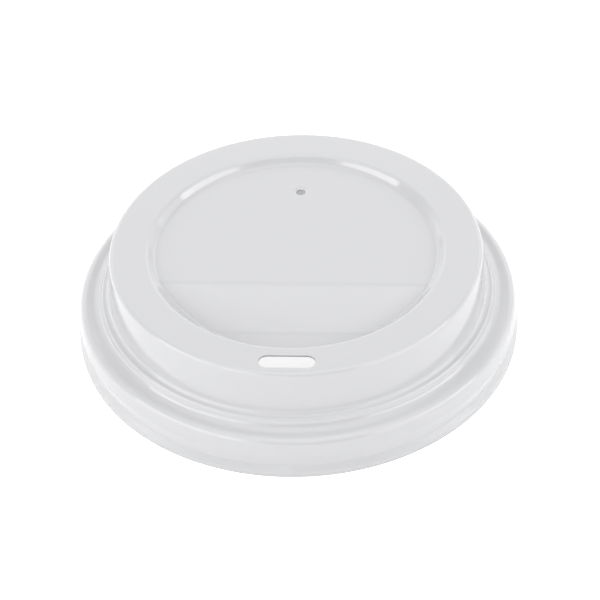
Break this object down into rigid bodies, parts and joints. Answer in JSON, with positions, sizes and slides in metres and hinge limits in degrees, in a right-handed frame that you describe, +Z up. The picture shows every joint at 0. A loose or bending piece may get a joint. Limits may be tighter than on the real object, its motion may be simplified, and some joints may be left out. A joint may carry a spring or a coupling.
{
  "type": "cup lid",
  "caption": "Domed sip-through lid for a paper hot drink cup: raised drinking rim with a slot, recessed floor sloping to a front pocket, breather hole, press-fit bead and flared lip.",
  "frame": {"origin": "centre of the lip's underside, on the lid's axis, at the base of the lid's box", "axes": "+Z up along the lid's axis, from the open underside to the drinking rim; the sip slot is on -Y and the breather hole on +Y; +X completes the right-handed frame"},
  "size_m": [0.093, 0.093, 0.0206],
  "materials": {
    "lid": "smooth semi-gloss white polystyrene sheet"
  },
  "bodies": {
    "root": {"lid": "lid"}
  },
  "joints": []
}
